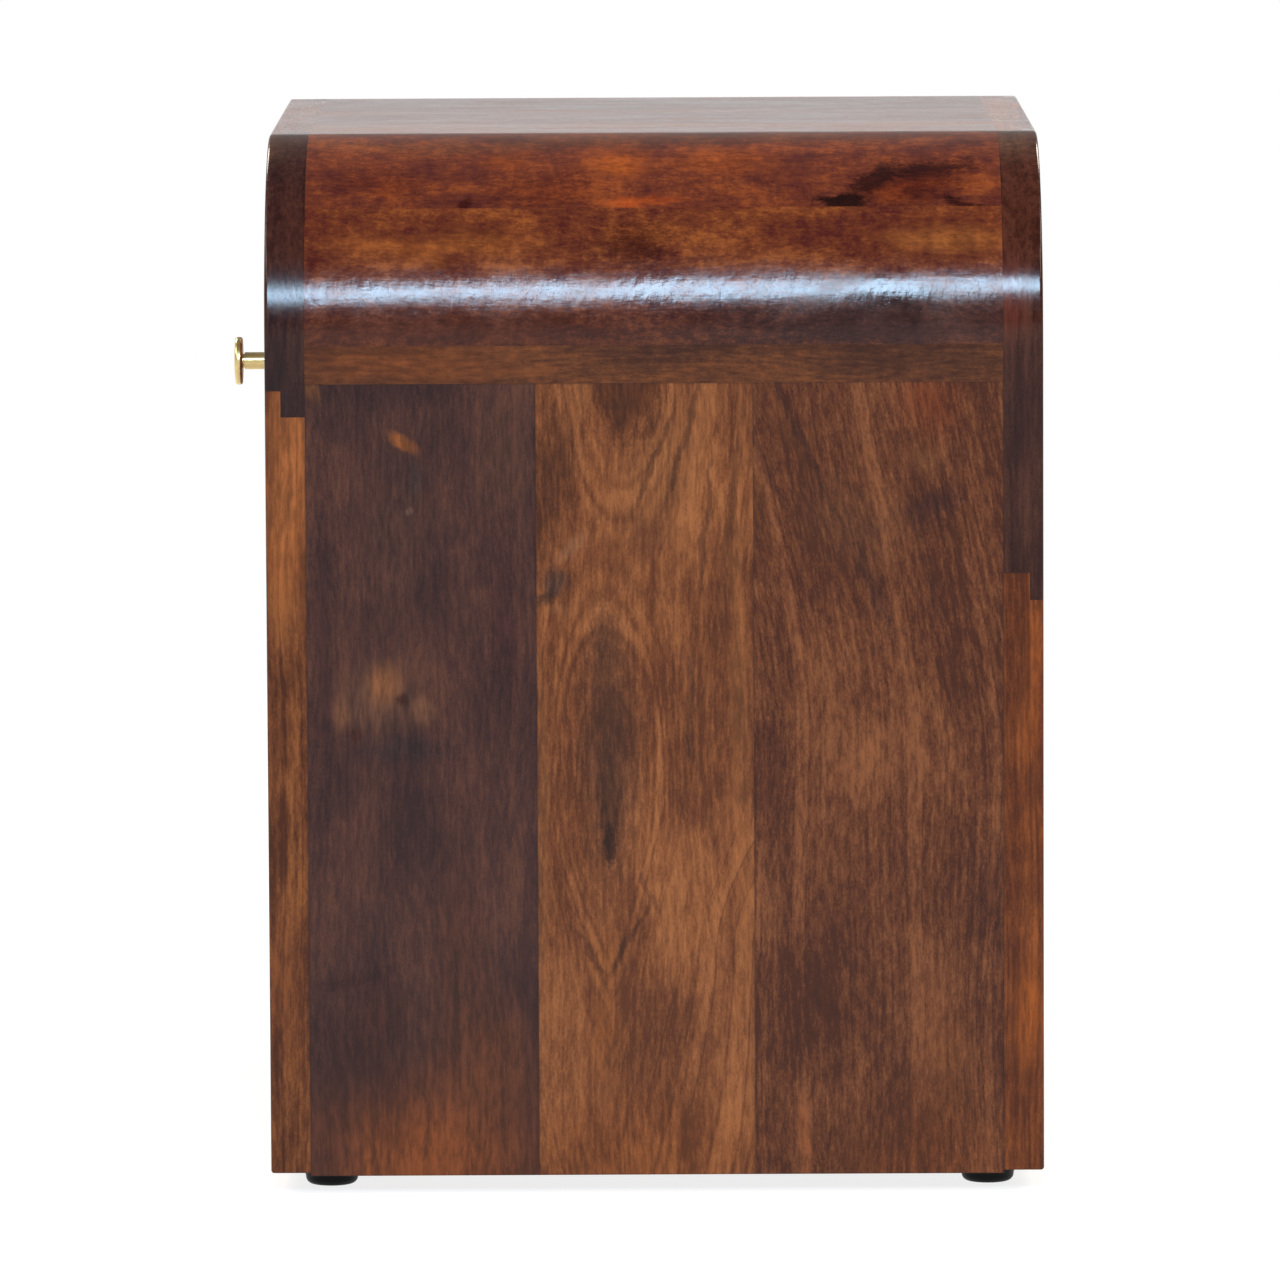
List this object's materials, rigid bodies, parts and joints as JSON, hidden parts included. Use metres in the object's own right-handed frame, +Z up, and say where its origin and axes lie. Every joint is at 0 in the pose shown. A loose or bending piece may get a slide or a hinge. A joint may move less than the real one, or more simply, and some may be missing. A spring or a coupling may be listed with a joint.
{
  "type": "nightstand",
  "caption": "Wooden nightstand with rounded shoulders, arched front and back frames, a sliding drawer with a brass knob and an open compartment below.",
  "frame": {"origin": "on the floor, below the centre of the whole object's box, the knob included", "axes": "+Z up, -Y towards the front (drawer and knob), +X to the right seen from the front"},
  "size_m": [0.48, 0.3922, 0.5],
  "materials": {
    "case_wood": "satin stain and lacquer",
    "dark_wood": "satin stain and lacquer",
    "frame_wood": "satin stain and lacquer",
    "inner_wood": "sanded, thin matt lacquer",
    "panel_wood": "stained plywood",
    "dowel_wood": "raw",
    "brass": "polished",
    "steel": "zinc plated",
    "foot_plastic": "matte"
  },
  "bodies": {
    "carcass": {"right_side_board_front": "case_wood", "right_side_board_middle": "case_wood", "right_side_board_rear": "case_wood", "right_shoulder_strip": "case_wood", "right_shoulder_lower_stave": "case_wood", "right_shoulder_upper_stave": "case_wood", "left_side_board_front": "case_wood", "left_side_board_middle": "case_wood", "left_side_board_rear": "case_wood", "left_shoulder_strip": "case_wood", "left_shoulder_lower_stave": "case_wood", "left_shoulder_upper_stave": "case_wood", "top_board_left": "case_wood", "top_board_middle": "case_wood", "top_board_right": "case_wood", "front_frame_right_corner": "dark_wood", "front_frame_left_corner": "dark_wood", "back_frame_right_corner": "dark_wood", "back_frame_left_corner": "dark_wood", "front_frame_right_leg": "frame_wood", "front_frame_left_leg": "frame_wood", "back_frame_right_leg": "frame_wood", "back_frame_left_leg": "frame_wood", "front_frame_top_rail": "frame_wood", "front_frame_shelf_rail": "frame_wood", "front_frame_bottom_rail": "frame_wood", "back_frame_top_rail": "frame_wood", "back_frame_bottom_rail": "frame_wood", "bottom_board": "case_wood", "divider_shelf": "case_wood", "back_panel": "panel_wood", "right_drawer_runner": "inner_wood", "left_drawer_runner": "inner_wood", "drawer_stops": "inner_wood", "foot_screws": "steel", "runner_screws": "steel", "back_panel_pins": "steel", "front_right_foot": "foot_plastic", "front_left_foot": "foot_plastic", "back_right_foot": "foot_plastic", "back_left_foot": "foot_plastic", "bottom_board_dowels": "dowel_wood", "shelf_dowels": "dowel_wood", "front_frame_dowels": "dowel_wood", "back_frame_dowels": "dowel_wood", "rail_dowels": "dowel_wood"},
    "drawer": {"drawer_front": "case_wood", "right_drawer_side": "inner_wood", "left_drawer_side": "inner_wood", "drawer_back": "inner_wood", "drawer_bottom": "panel_wood", "drawer_bottom_screws": "steel", "knob": "brass", "knob_screw": "steel", "knob_washer": "steel"}
  },
  "joints": [
    {"name": "drawer_slide", "type": "slide", "parent": "carcass", "child": "drawer", "axis": [0, -1, 0], "range_m": [0, 0.24]}
  ]
}
